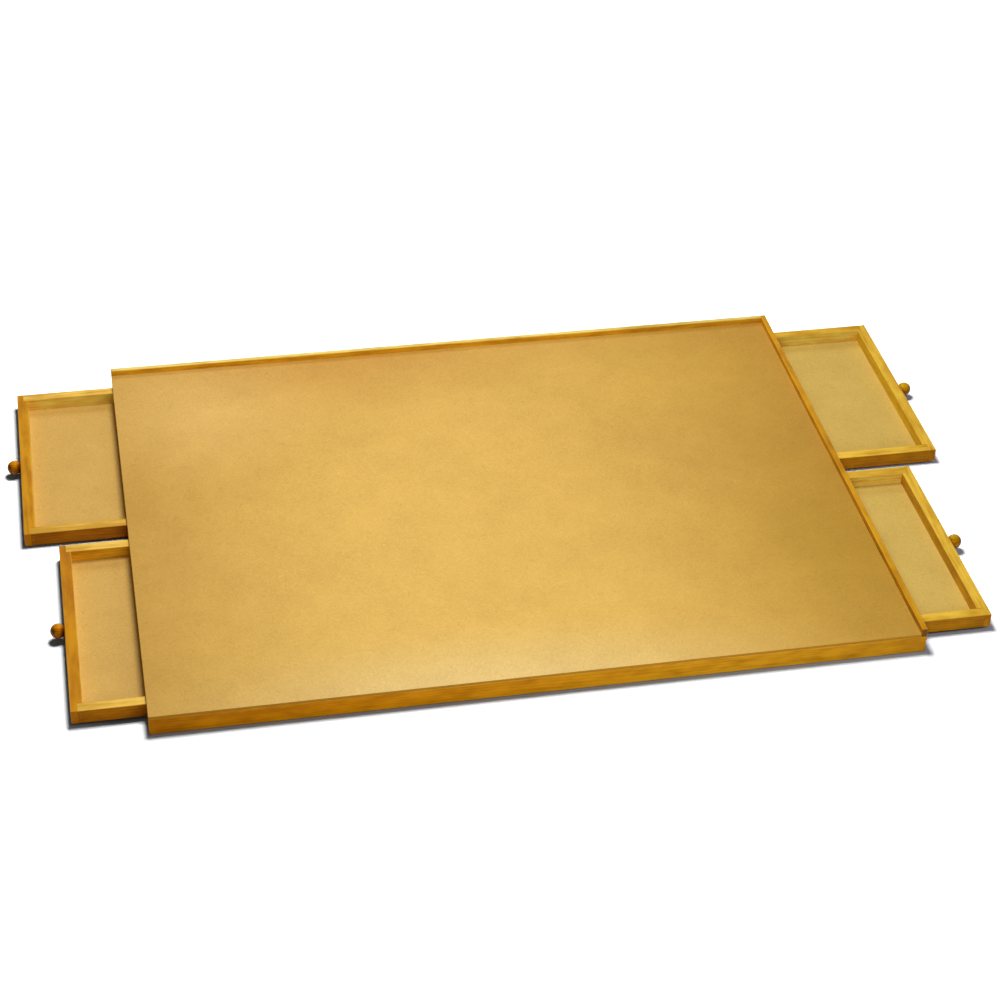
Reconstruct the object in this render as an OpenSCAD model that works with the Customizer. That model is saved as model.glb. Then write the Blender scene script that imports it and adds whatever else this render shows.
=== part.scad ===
// Jigsaw puzzle storage case: a work surface on a low wooden frame, with a raised rim
// along two edges and four trays that slide out, two to the left and two to the right.
// X runs to the right, Y to the back and Z up, from the middle of the case's underside.

/* [Case] */
// Width of the case, left to right, along the way the drawers slide
case_w = 787; // [640:1:900]
// Depth of the case, front to back
case_d = 600; // [480:1:700]
// Thickness of the fibreboard work surface
surface_t = 3; // [2.5:0.1:6]
// Thickness of the hardboard base panel
base_t = 2.5; // [2.4:0.1:5]
// Width of the front and back rails
rail_w = 23; // [18:0.5:40]
// Width of the center rail between the front and the back drawers
center_w = 23; // [14:0.5:40]
// Width of the two spines in the middle of the case
spine_w = 23; // [14:0.5:40]
// Width of the step in the front and back rails that takes the edge of the base panel
base_lap = 11; // [8:0.5:14]

/* [Rim] */
// Width of the two rim strips
rim_w = 6.3; // [4:0.1:12]
// Height of the rim above the work surface
rim_h = 6.5; // [3:0.1:15]
// Rounding of the rim's top edges
rim_round = 1.1; // [0.5:0.1:1.8]

/* [Drawers] */
// Height of a drawer
drawer_h = 15.8; // [14:0.1:40]
// Thickness of a drawer's front board
face_t = 12; // [10:0.5:18]
// Thickness of a drawer's side boards
side_t = 12; // [8:0.5:18]
// Thickness of a drawer's back board
back_t = 12; // [8:0.5:18]
// Depth of the rabbet in each end of the front board, which takes the end of a side
corner_lap = 5; // [4:0.1:6]
// Thickness of a drawer's floor
floor_t = 2.3; // [2:0.1:4]
// Width of the step under the boards that takes the edge of the floor
floor_lap = 5; // [4:0.1:6]

/* [Knobs] */
// Diameter of the ball
knob_d = 15.6; // [13:0.1:16]
// Depth cut off the ball for the flat with which it sits on the front board
knob_flat = 0.9; // [0.8:0.1:2]
// Height of the knob's axis over the middle of the front board
knob_lift = 1.5; // [0:0.1:1.7]
// Diameter of the tenon that is glued into the front board
tenon_d = 6; // [4:0.1:6]
// Length of the tenon
tenon_l = 8; // [5:0.5:8.5]

/* [Screws and brads] */
// Diameter of a base screw's shank
screw_d = 3; // [2:0.1:4]
// Diameter of its countersunk head
screw_head_d = 6; // [5:0.1:7]
// Length of a base screw
screw_l = 13; // [10:0.5:15]
// Depth of the cross slot in its head
slot_depth = 1.2; // [0.6:0.1:1.5]
// Depth of a screw's head below the underside
screw_sink = 0.3; // [0.1:0.1:0.5]
// Base screws along each rail, an even number so that none stands in the middle
rail_screws = 6; // [4:2:10]
// Base screws in each spine
spine_screws = 2; // [1:1:4]
// Distance from the ends of a rail to its first screw
screw_inset = 40; // [20:5:80]
// Diameter of a brad
brad_d = 1.3; // [1:0.1:1.8]
// Length of the brads through the corners of a drawer
corner_brad_l = 24; // [18:1:28]
// Length of the brads through the floor of a drawer
floor_brad_l = 10; // [7:0.5:12]
// Brads along each side of a floor
side_brads = 4; // [2:1:8]
// Brads along each end of a floor, an even number so that none meets the knob's tenon
end_brads = 4; // [2:2:6]

/* [Openings at rest] */
// How far the back left drawer stands open
open_back_left = 108.3; // [0:0.1:290]
// How far the front left drawer stands open
open_front_left = 73; // [0:0.1:290]
// How far the back right drawer stands open
open_back_right = 119.6; // [0:0.1:290]
// How far the front right drawer stands open
open_front_right = 78.7; // [0:0.1:290]

/* [Clearances] */
// Gap between the base panel and a drawer that slides on it
run_gap = 0.3; // [0.2:0.1:1]
// Gap between a drawer and the work surface over it
head_gap = 1.1; // [0.4:0.1:3]
// Gap between a drawer and the rail on each side of it
side_gap = 1; // [0.4:0.1:3]
// Gap between a shut drawer and the spine that stops it
stop_gap = 0.5; // [0.3:0.1:3]
// Gap all round a brad or a tenon in its hole
pin_gap = 0.02; // [0.02:0.01:0.1]
// Gap all round a screw in the base panel
screw_gap = 0.15; // [0.05:0.05:0.3]
// Space left past the tip of a screw or a tenon in its hole
tip_gap = 0.4; // [0.2:0.1:1]

/* [Edges] */
// Rounding of the edges of the wooden boards
ease = 0.7; // [0.3:0.1:1]
// Rounding of the edges of the work surface
surface_ease = 0.4; // [0.2:0.1:0.6]

/* [Hidden] */
$fn = 48;
// Length by which a cut runs past the face that it opens
over = 1;
half_w = case_w / 2;
half_d = case_d / 2;
rail_h = base_t + run_gap + drawer_h + head_gap;
surface_z = rail_h + surface_t;
rim_top_z = surface_z + rim_h;
drawer_z = base_t + run_gap;
bay_y0 = center_w / 2;
bay_y1 = half_d - rail_w;
bay_l = half_w - spine_w / 2;
drawer_l = bay_l - stop_gap;
drawer_w = bay_y1 - bay_y0 - 2 * side_gap;
side_x0 = face_t - corner_lap;
floor_w = drawer_w - 2 * side_t + 2 * floor_lap;
floor_x0 = face_t - floor_lap;
floor_x1 = drawer_l - back_t + floor_lap;
knob_y = drawer_w / 2;
knob_z = drawer_h / 2 + knob_lift;
ball_x = knob_d / 2 - knob_flat;
ball_sink = 0.6;
screw_head_h = 1.7;
screw_tip_l = 3;
screw_tip_d = 0.6;
slot_w = 0.9;
slot_l = 3.6;
lap_screw_y = bay_y1 + base_lap / 2;
spine_l = bay_y1 - bay_y0;
wood = "#C98A24";
wood_light = "#DDA63C";
wood_dark = "#A86E14";
fibre = "#D2A65A";
hardboard = "#A98248";
steel = "#B4B4B8";

// Name, side (-1 left, 1 right), end (-1 front, 1 back) and opening of each drawer
DRAWERS = [
    ["back_left", -1, 1, open_back_left],
    ["front_left", -1, -1, open_front_left],
    ["back_right", 1, 1, open_back_right],
    ["front_right", 1, -1, open_front_right],
];
DRAWER_PIECES = [
    "face",
    "outer_side",
    "inner_side",
    "back",
    "floor",
    "knob",
    "corner_brads",
    "floor_brads",
];
CASE_PIECES = [
    "work_surface",
    "front_rail",
    "back_rail",
    "center_rail",
    "front_spine",
    "back_spine",
    "base_panel",
    "rim_back",
    "rim_right",
    "base_screws",
];

// ---- Boards with eased edges ----

// Rectangle with its low corner at the origin and arcs of radius r at its corners
module eased_rect(a, b, r) {
    translate([r, 0]) square([a - 2 * r, b]);
    translate([0, r]) square([a, b - 2 * r]);
    for (x = [r, a - r], y = [r, b - r]) translate([x, y]) circle(r);
}

// Bars of a size [x, y, z] whose four long edges, along X, Y or Z, are eased
module bar_x(size, r) rotate([90, 0, 90]) linear_extrude(size[0]) eased_rect(size[1], size[2], r);
module bar_y(size, r) {
    translate([0, size[1], 0]) rotate([90, 0, 0]) linear_extrude(size[1]) eased_rect(size[0], size[2], r);
}
module bar_z(size, r) linear_extrude(size[2]) eased_rect(size[0], size[1], r);

// Block with all of its edges eased
module eased_block(size, r) {
    intersection() {
        bar_x(size, r);
        bar_y(size, r);
        bar_z(size, r);
    }
}

// ---- Case ----

// Places of the base screws, [x, y] for each
rail_pitch = (case_w - 2 * screw_inset) / (rail_screws - 1);
rail_xs = [for (i = [0:rail_screws - 1]) -half_w + screw_inset + i * rail_pitch];
spine_ys = [for (i = [1:spine_screws]) bay_y0 + spine_l * i / (spine_screws + 1)];
rail_screw_places = [for (x = rail_xs, y = [-lap_screw_y, 0, lap_screw_y]) [x, y]];
spine_screw_places = [for (y = spine_ys, s = [-1, 1]) [0, s * y]];
screw_places = concat(rail_screw_places, spine_screw_places);

// Countersunk wood screw that points up, its head's face on the XY plane
module wood_screw() {
    difference() {
        union() {
            cylinder(h = screw_head_h, d1 = screw_head_d, d2 = screw_d);
            cylinder(h = screw_l - screw_tip_l, d = screw_d);
            translate([0, 0, screw_l - screw_tip_l])
                cylinder(h = screw_tip_l, d1 = screw_d, d2 = screw_tip_d);
        }
        for (a = [0, 90]) rotate([0, 0, a])
            translate([-slot_l / 2, -slot_w / 2, -over]) cube([slot_l, slot_w, over + slot_depth]);
    }
}

// Hole in the base panel for the head and the shank of a screw
module screw_seat() {
    hole_d = screw_head_d + 2 * screw_gap;
    translate([0, 0, -over]) cylinder(h = over + screw_sink, d = hole_d);
    translate([0, 0, screw_sink]) cylinder(h = screw_head_h, d1 = hole_d, d2 = screw_d + 2 * screw_gap);
    cylinder(h = base_t + over, d = screw_d + 2 * screw_gap);
}

// Pilot hole in a rail over the base panel
module screw_pilot() {
    cylinder(h = screw_sink + screw_l + tip_gap, d = screw_d + 2 * pin_gap);
}

module at_screws(places) {
    for (p = places) translate([p[0], p[1], 0]) children();
}

// Rail along the front edge; the back rail is its mirror image
module edge_rail() {
    difference() {
        translate([-half_w, -half_d, 0]) eased_block([case_w, rail_w, rail_h], ease);
        translate([-half_w - over, -bay_y1 - base_lap, -over])
            cube([case_w + 2 * over, base_lap + over, over + base_t]);
        at_screws([for (x = rail_xs) [x, -lap_screw_y]]) screw_pilot();
    }
}

module front_rail() color(wood_dark) edge_rail();

module back_rail() color(wood_dark) mirror([0, 1, 0]) edge_rail();

module center_rail() {
    color(wood_dark) difference() {
        translate([-half_w, -center_w / 2, base_t]) bar_x([case_w, center_w, rail_h - base_t], ease);
        at_screws([for (x = rail_xs) [x, 0]]) screw_pilot();
    }
}

module spine() {
    difference() {
        translate([-spine_w / 2, bay_y0, base_t]) bar_y([spine_w, spine_l, rail_h - base_t], ease);
        at_screws([for (y = spine_ys) [0, y]]) screw_pilot();
    }
}

module back_spine() color(wood_dark) spine();

module front_spine() color(wood_dark) mirror([0, 1, 0]) spine();

module base_panel() {
    panel_d = 2 * (bay_y1 + base_lap);
    color(hardboard) difference() {
        translate([-half_w, -panel_d / 2, 0]) cube([case_w, panel_d, base_t]);
        at_screws(screw_places) screw_seat();
    }
}

module base_screws() {
    color(steel) at_screws(screw_places) translate([0, 0, screw_sink]) wood_screw();
}

module work_surface() {
    extra = 2 * surface_ease;
    size = [case_w - rim_w, case_d - rim_w, surface_t];
    color(fibre) intersection() {
        translate([-half_w, -half_d, rail_h]) eased_block([size[0] + extra, size[1] + extra, size[2]], surface_ease);
        translate([-half_w, -half_d, rail_h]) cube(size);
    }
}

// Rim strip beside the work surface, with its top edges rounded and its low corner at the origin
module rim_strip(length) {
    strip_h = rim_top_z - rail_h;
    intersection() {
        translate([0, 0, -2 * rim_round]) eased_block([rim_w, length, strip_h + 2 * rim_round], rim_round);
        cube([rim_w, length, strip_h]);
    }
}

module rim_right() {
    color(wood_light) translate([half_w - rim_w, -half_d, rail_h]) rim_strip(case_d);
}

module rim_back() {
    length = case_w - rim_w;
    color(wood_light) intersection() {
        translate([-half_w, half_d, rail_h]) rotate([0, 0, -90]) rim_strip(length + 2 * rim_round);
        translate([-half_w, half_d - rim_w, rail_h]) cube([length, rim_w, rim_top_z - rail_h]);
    }
}

// ---- Drawers ----
// Each piece is drawn for a drawer whose front board stands on the YZ plane and faces -X,
// whose inner side lies along the X axis and whose underside is on the XY plane.

// Step cut in the underside of the boards, which takes the edge of the floor
module floor_step() {
    translate([floor_x0, side_t - floor_lap, -over])
        cube([floor_x1 - floor_x0, floor_w, over + floor_t]);
}

// Distances from the front and heights of the brads through the corners
corner_xs = [face_t - corner_lap / 2, drawer_l - back_t / 2];
corner_brad_zs = [for (i = [1, 2]) floor_t + (drawer_h - floor_t) * i / 3];

// Brads through both sides into the front and the back; as holes they get a gap all round
// and reach out of the side
module corner_brad_set(gap, reach) {
    for (x = corner_xs, z = corner_brad_zs, y = [-reach, drawer_w - corner_brad_l - gap])
        translate([x, y, z]) rotate([-90, 0, 0])
            cylinder(h = corner_brad_l + reach + gap, d = brad_d + 2 * gap);
}

// Places of the brads through the floor, [x, y] for each, in rows along the middle of its steps
floor_in_x = [floor_x0 + floor_lap / 2, floor_x1 - floor_lap / 2];
floor_in_y = [side_t - floor_lap / 2, drawer_w - side_t + floor_lap / 2];
side_pitch = (floor_in_x[1] - floor_in_x[0]) / side_brads;
end_pitch = (floor_in_y[1] - floor_in_y[0]) / end_brads;
floor_brad_places = concat(
    [for (i = [0:side_brads - 1], y = floor_in_y) [floor_in_x[0] + side_pitch * (i + 0.5), y]],
    [for (i = [0:end_brads - 1], x = floor_in_x) [x, floor_in_y[0] + end_pitch * (i + 0.5)]]
);

// Brads up through the floor, or their holes, as for the corners
module floor_brad_set(gap, reach) {
    for (p = floor_brad_places)
        translate([p[0], p[1], -reach]) cylinder(h = floor_brad_l + reach + gap, d = brad_d + 2 * gap);
}

module brad_holes() {
    corner_brad_set(pin_gap, over);
    floor_brad_set(pin_gap, over);
}

module drawer_face() {
    color(wood) difference() {
        eased_block([face_t, drawer_w, drawer_h], ease);
        for (y = [-over, drawer_w - side_t])
            translate([side_x0, y, -over]) cube([corner_lap + over, side_t + over, drawer_h + 2 * over]);
        floor_step();
        brad_holes();
        translate([-over, knob_y, knob_z]) rotate([0, 90, 0])
            cylinder(h = over + tenon_l + tip_gap, d = tenon_d + 2 * pin_gap);
    }
}

module side_board() {
    difference() {
        translate([side_x0, 0, 0]) bar_x([drawer_l - side_x0, side_t, drawer_h], ease);
        floor_step();
        brad_holes();
    }
}

module drawer_inner_side() color(wood_light) side_board();

module drawer_outer_side() color(wood_light) translate([0, drawer_w, 0]) mirror([0, 1, 0]) side_board();

module drawer_back() {
    color(wood_light) difference() {
        translate([drawer_l - back_t, side_t, 0])
            bar_y([back_t, drawer_w - 2 * side_t, drawer_h], ease);
        floor_step();
        brad_holes();
    }
}

module drawer_floor() {
    color(fibre) difference() {
        translate([floor_x0, side_t - floor_lap, 0]) cube([floor_x1 - floor_x0, floor_w, floor_t]);
        floor_brad_set(pin_gap, over);
    }
}

module drawer_knob() {
    color(wood_dark) translate([0, knob_y, knob_z]) rotate([0, -90, 0]) union() {
        translate([0, 0, -tenon_l]) cylinder(h = tenon_l + ball_sink, d = tenon_d);
        intersection() {
            translate([0, 0, ball_x]) sphere(d = knob_d);
            cylinder(h = ball_x + knob_d, d = knob_d + 2 * over);
        }
    }
}

module drawer_corner_brads() color(steel) corner_brad_set(0, 0);

module drawer_floor_brads() color(steel) floor_brad_set(0, 0);

// A drawer's place in the case, at its opening at rest
module in_bay(drawer) {
    mirror([drawer[1] > 0 ? 1 : 0, 0, 0]) mirror([0, drawer[2] < 0 ? 1 : 0, 0])
        translate([-half_w - drawer[3], bay_y0 + side_gap, drawer_z]) children();
}

work_surface();
front_rail();
back_rail();
center_rail();
front_spine();
back_spine();
base_panel();
rim_back();
rim_right();
base_screws();
for (d = DRAWERS) {
    in_bay(d) drawer_face();
    in_bay(d) drawer_outer_side();
    in_bay(d) drawer_inner_side();
    in_bay(d) drawer_back();
    in_bay(d) drawer_floor();
    in_bay(d) drawer_knob();
    in_bay(d) drawer_corner_brads();
    in_bay(d) drawer_floor_brads();
}
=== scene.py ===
"""Dresses a jigsaw puzzle storage case: stained boards, pressed fibreboard, turned knobs,
screws and brads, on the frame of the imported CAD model, in a plain white studio."""
import logging
import math
import random
from dataclasses import dataclass, field
from enum import Enum

import bmesh
import bpy
from mathutils import Euler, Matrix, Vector


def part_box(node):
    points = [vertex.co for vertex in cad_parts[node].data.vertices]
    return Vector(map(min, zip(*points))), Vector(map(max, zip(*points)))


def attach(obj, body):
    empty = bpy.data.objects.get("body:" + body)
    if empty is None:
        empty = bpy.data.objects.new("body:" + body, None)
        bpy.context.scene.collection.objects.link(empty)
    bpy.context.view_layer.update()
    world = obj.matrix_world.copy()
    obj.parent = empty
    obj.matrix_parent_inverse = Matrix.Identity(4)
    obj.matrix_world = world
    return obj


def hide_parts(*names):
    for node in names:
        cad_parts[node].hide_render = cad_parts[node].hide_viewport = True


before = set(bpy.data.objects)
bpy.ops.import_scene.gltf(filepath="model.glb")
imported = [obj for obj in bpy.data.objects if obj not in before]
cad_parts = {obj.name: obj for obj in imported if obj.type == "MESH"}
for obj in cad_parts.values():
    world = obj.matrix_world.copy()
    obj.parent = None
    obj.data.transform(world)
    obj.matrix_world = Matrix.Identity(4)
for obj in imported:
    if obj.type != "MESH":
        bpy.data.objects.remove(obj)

log = logging.getLogger("puzzle_case")
MM = 0.001
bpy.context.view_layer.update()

Colour = tuple[float, float, float, float]
Triple = tuple[float, float, float]
Pair = tuple[float, float]
Node = bpy.types.Node
Socket = bpy.types.NodeSocket
Tree = bpy.types.NodeTree


def span(ends: Pair) -> dict[str, float]:
    """Gives the start and end of a range by the names of their sockets."""
    return {"From Min": ends[0], "From Max": ends[1]}


# How a face's normal picks its tone: the share of an axis in it at which one tone starts to
# give way, and the share at which the other has taken over.
# Level to upright paints shade on upright faces; outside to lining paints light on inward ones.
LEVEL_TO_UPRIGHT: Pair = (0.9, 0.6)
OUTSIDE_TO_LINING: Pair = (0.6, 0.9)
SIDE_TO_END_GRAIN: Pair = (0.2, 0.9)
FLAT_TO_EDGE: Pair = (0.995, 0.85)
SKIN_TO_SAWN: Pair = (0.9, 0.5)
# Values of a noise between which the gloss changes.
NOISE_SPAN: Pair = (0.3, 0.7)
NOISE_MIDDLE = 0.5
# Height that a surface's bump stands for.
RELIEF = 0.05 * MM


def srgb(code: str) -> Colour:
    """Turns an sRGB hex colour into the linear colour that a shader takes.

    Args:
        code: The colour, such as "#C98A24".

    Returns:
        Linear red, green, blue and an alpha of 1.
    """
    shares = [int(code[i : i + 2], 16) / 255 for i in (1, 3, 5)]
    linear = [s / 12.92 if s <= 0.04045 else ((s + 0.055) / 1.055) ** 2.4 for s in shares]
    return (*linear, 1.0)


def add(
    tree: Tree,
    kind: str,
    inputs: dict[str | int, object] | None = None,
    **settings: object,
) -> Node:
    """Adds a node with its settings, its values and the links into it.

    Args:
        tree: The tree that gets the node.
        kind: The node's type, such as "ShaderNodeMath".
        inputs: For each input, by name or number, the socket that feeds it or its value.
        settings: The node's properties.

    Returns:
        The new node.
    """
    node = tree.nodes.new(kind)
    for name, value in settings.items():
        setattr(node, name, value)
    for key, value in (inputs or {}).items():
        if isinstance(value, Socket):
            tree.links.new(value, node.inputs[key])
        else:
            node.inputs[key].default_value = value
    return node


class Grain(Enum):
    """Direction in which a board's fibres run."""

    ALONG_X = (1.0, 0.0, 0.0)
    ALONG_Y = (0.0, 1.0, 0.0)


class Stain(Enum):
    """Depth of the stain on a board: its colour on pale and on dense wood."""

    STRAW = ("#FDD14E", "#D09C28")
    WHEAT = ("#FED463", "#D19F34")
    GOLD = ("#F9CF58", "#CD9B2E")
    CANARY = ("#F5E081", "#C9A846")
    HONEY = ("#E2A522", "#B97B0E")
    AMBER = ("#DD9D13", "#B57406")
    UMBER = ("#D89406", "#B16D02")
    TOFFEE = ("#D78705", "#B06401")
    CARAMEL = ("#E59D0D", "#BB7404")
    ORANGE = ("#F1A513", "#C67B06")
    APRICOT = ("#F9BB2D", "#CD8B15")
    OCHRE = ("#E3B91A", "#BA8A0A")
    CHESTNUT = ("#CD990D", "#A87204")
    MAPLE = ("#DAA104", "#B37701")
    TOBACCO = ("#C67A04", "#A25A01")
    BRIAR = ("#C28A04", "#7C4A01")
    GINGER = ("#F7A109", "#CA7802")
    MARIGOLD = ("#FBB522", "#CE870E")
    CREAM = ("#FFE972", "#EDAF3D")
    WALNUT = ("#F0AC1C", "#9A5A04")
    RUSSET = ("#E8920E", "#7E3C00")


class Side(Enum):
    """Side of the case to which a drawer pulls out, as the sign of X."""

    LEFT = -1
    RIGHT = 1


class End(Enum):
    """End of the case at which a drawer lies, as the sign of Y."""

    FRONT = -1
    BACK = 1


# ---- Finishes ----


@dataclass(frozen=True)
class Finish:
    """A material by its name, made when it is first asked for."""

    name: str

    def material(self) -> bpy.types.Material:
        """Gives the finish's material.

        Returns:
            The material, with its nodes.
        """
        made = bpy.data.materials.get(self.name)
        if made is None:
            made = bpy.data.materials.new(self.name)
            made.use_nodes = True
            made.node_tree.nodes.clear()
            out = add(made.node_tree, "ShaderNodeOutputMaterial")
            made.node_tree.links.new(self.shader(made.node_tree), out.inputs["Surface"])
        return made

    def shader(self, tree: Tree) -> Socket:
        """Adds the finish's nodes.

        Args:
            tree: The material's tree.

        Returns:
            The shader's output.
        """
        raise NotImplementedError

    def dress(self, name: str) -> None:
        """Puts the finish on a CAD node.

        Args:
            name: The node's name.
        """
        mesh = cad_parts[name].data
        mesh.materials.clear()
        mesh.materials.append(self.material())
        for face in mesh.polygons:
            face.material_index = 0


def millimetres(
    tree: Tree, centre: Triple = (0, 0, 0), grain: Grain = Grain.ALONG_X
) -> Socket:
    """Adds the object's own coordinates in millimetres, with the fibres turned to X.

    Args:
        tree: The material's tree.
        centre: The point in millimetres that gets the coordinates 0, 0, 0.
        grain: The direction that is turned to X.

    Returns:
        The coordinates.
    """
    x, y, z = centre
    turned = grain is Grain.ALONG_Y
    mapping = add(
        tree,
        "ShaderNodeMapping",
        {
            "Vector": add(tree, "ShaderNodeTexCoord").outputs["Object"],
            "Location": (-y, x, -z) if turned else (-x, -y, -z),
            "Rotation": (0, 0, -math.pi / 2 if turned else 0),
            "Scale": (1000, 1000, 1000),
        },
    )
    return mapping.outputs["Vector"]


@dataclass(frozen=True)
class Figure:
    """Layer of a board's figure: noise in patches so long and so wide in millimetres.

    Detail is the noise's own, shift sets it apart from the other layers, and weight is how
    much of it goes into the depth of the stain.
    """

    along: float
    across: float
    detail: float
    shift: float
    weight: float = 0.0


@dataclass(frozen=True)
class StainedWood(Finish):
    """Softwood board, planed and sanded, honey stain under a thin satin lacquer.

    The eye sees faint growth rings as long bands, fine fibres along the board, cloudy
    blotches where the stain went deeper, darker ends, and edges rubbed a little paler.
    Upright faces take a deeper tone as painted shade, and faces turned inward a paler one
    as painted light.
    Growth rings are 3.4 mm apart. Softwood's fibres are about 0.03 mm wide, which is too fine
    to show, so they are drawn coarser, 0.55 mm wide. Sizes are in millimetres.
    """

    stain: Stain
    upright: Stain
    grain: Grain
    centre: Triple
    length: float
    seed: int
    # Tone that paints light over the middle half of the upright faces.
    painted_light_middle: Stain | None = None
    # Tone that paints light on faces turned inward.
    lining: Stain | None = None
    inward: Triple = (0.0, 0.0, 0.0)
    ring: float = 3.4
    rough: Pair = (0.36, 0.46)
    end_depth: float = 0.1
    end_reach: float = 1.6
    end_soak: float = 0.2
    level_soak: float = 0.0
    pith_at: Pair | None = None
    tool: float = 0.0
    shine: float = 0.25
    sheen_tint: str = "#FFC450"
    rubbed: float = 0.3
    rubbed_tone: str = "#EFC35A"
    mean_depth: float = 0.32
    drift: Figure = Figure(260, 45, 1, 0, 22)
    fibres: Figure = Figure(28, 0.55, 2, 11, 0.8)
    streaks: Figure = Figure(120, 3.5, 2, 23, 0.9)
    blotches: Figure = Figure(34, 11, 2, 37, 2.4)
    latewood_rise: Pair = (0.25, 0.85)
    latewood_fall: Pair = (1.0, 0.88)
    latewood_share: float = 0.3
    latewood_weight: float = 0.3

    def shader(self, tree: Tree) -> Socket:
        """Adds the wood's nodes.

        Args:
            tree: The material's tree.

        Returns:
            The shader's output.
        """
        rng = random.Random(self.seed)
        pith = (0.0, *(self.pith_at or (rng.uniform(-40, 40), -rng.uniform(25, 90))))
        place = millimetres(tree, self.centre, self.grain)

        def cloud(layer: Figure) -> Node:
            """Adds the noise of one layer of the figure.

            Args:
                layer: The layer.

            Returns:
                The noise's node.
            """
            squeeze = (1 / layer.along, 1 / layer.across, 1 / layer.across)
            vector = add(tree, "ShaderNodeVectorMath", {0: place, 1: squeeze}, operation="MULTIPLY")
            return add(
                tree,
                "ShaderNodeTexNoise",
                {
                    "Vector": vector.outputs[0],
                    "W": self.seed * 7.3 + layer.shift,
                    "Scale": 1.0,
                    "Detail": layer.detail,
                    "Roughness": 0.6,
                },
                noise_dimensions="4D",
            )

        # Rings: distance from the pith, which lies below the board, bent by a slow drift.
        drift = add(
            tree,
            "ShaderNodeVectorMath",
            {
                0: cloud(self.drift).outputs["Color"],
                1: (0, self.drift.weight, self.drift.weight),
                2: place,
            },
            operation="MULTIPLY_ADD",
        )
        from_pith = add(
            tree,
            "ShaderNodeVectorMath",
            {0: drift.outputs[0], 1: pith},
            operation="SUBTRACT",
        )
        cross = add(
            tree,
            "ShaderNodeVectorMath",
            {0: from_pith.outputs[0], 1: (0, 1 / self.ring, 1 / self.ring)},
            operation="MULTIPLY",
        )
        radius = add(tree, "ShaderNodeVectorMath", {0: cross.outputs[0]}, operation="LENGTH")
        phase = add(tree, "ShaderNodeMath", {0: radius.outputs["Value"]}, operation="FRACT")
        rise, fall = (
            add(
                tree,
                "ShaderNodeMapRange",
                {"Value": phase.outputs[0], **span(ends)},
                interpolation_type="SMOOTHSTEP",
            )
            for ends in (self.latewood_rise, self.latewood_fall)
        )
        latewood = add(
            tree, "ShaderNodeMath", {0: rise.outputs[0], 1: fall.outputs[0]}, operation="MULTIPLY"
        ).outputs[0]

        layers = (self.fibres, self.streaks, self.blotches)
        fibre, streak, blotch = (cloud(layer).outputs[0] for layer in layers)
        depth: Socket | float = self.mean_depth
        for pattern, middle, weight in (
            (latewood, self.latewood_share, self.latewood_weight),
            (fibre, NOISE_MIDDLE, self.fibres.weight),
            (streak, NOISE_MIDDLE, self.streaks.weight),
            (blotch, NOISE_MIDDLE, self.blotches.weight),
        ):
            centred = add(tree, "ShaderNodeMath", {0: pattern, 1: middle}, operation="SUBTRACT")
            depth = add(
                tree,
                "ShaderNodeMath",
                {0: centred.outputs[0], 1: weight, 2: depth},
                operation="MULTIPLY_ADD",
            ).outputs[0]

        # The last millimetres at each end drink more stain, and so do the sawn ends; where the
        # reach is set long, tens of millimetres, this darkening paints shade along the board's
        # ends.
        along = add(tree, "ShaderNodeVectorMath", {0: place, 1: (1, 0, 0)}, operation="DOT_PRODUCT")
        from_middle = add(tree, "ShaderNodeMath", {0: along.outputs["Value"]}, operation="ABSOLUTE")
        near_end = add(
            tree,
            "ShaderNodeMapRange",
            {
                "Value": from_middle.outputs[0],
                "From Min": self.length / 2 - self.end_reach,
                "From Max": self.length / 2,
                "To Max": self.end_soak,
            },
            interpolation_type="SMOOTHSTEP",
        )
        normal = add(tree, "ShaderNodeNewGeometry").outputs["Normal"]
        facing = add(
            tree,
            "ShaderNodeVectorMath",
            {0: normal, 1: self.grain.value},
            operation="DOT_PRODUCT",
        )
        end_on = add(tree, "ShaderNodeMath", {0: facing.outputs["Value"]}, operation="ABSOLUTE")
        end_grain = add(
            tree,
            "ShaderNodeMapRange",
            {"Value": end_on.outputs[0], **span(SIDE_TO_END_GRAIN), "To Max": self.end_depth},
            interpolation_type="SMOOTHSTEP",
        )
        for extra in (near_end, end_grain):
            depth = add(
                tree, "ShaderNodeMath", {0: depth, 1: extra.outputs[0]}, operation="ADD"
            ).outputs[0]

        def toned(tone: Stain, extra: float = 0.0) -> Socket:
            """Adds a stain's colour by its depth in the wood.

            Args:
                tone: The stain.
                extra: How much deeper it has soaked in all over.

            Returns:
                The colour.
            """
            pale, dense = (srgb(code) for code in tone.value)
            soaked = add(tree, "ShaderNodeMath", {0: depth, 1: extra}, operation="ADD")
            return add(
                tree,
                "ShaderNodeMix",
                {0: soaked.outputs[0], 6: pale, 7: dense},
                data_type="RGBA",
            ).outputs[2]

        def over(
            first: Socket,
            second: Socket,
            where: Socket,
            ends: Pair,
        ) -> Socket:
            """Adds a change from one colour to another.

            Args:
                first: The colour that it starts from.
                second: The colour that it goes to.
                where: The value that it follows.
                ends: The values at which it starts and ends.

            Returns:
                The colour.
            """
            share = add(tree, "ShaderNodeMapRange", {"Value": where, **span(ends)})
            return add(
                tree,
                "ShaderNodeMix",
                {0: share.outputs[0], 6: first, 7: second},
                data_type="RGBA",
            ).outputs[2]

        # Painted shade: upright faces take a deeper tone than the tops, for the lesser light that
        # falls on them.
        absolute = add(tree, "ShaderNodeVectorMath", {0: normal}, operation="ABSOLUTE")
        split = add(tree, "ShaderNodeSeparateXYZ", {0: absolute.outputs[0]})
        upright = toned(self.upright)
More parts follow.
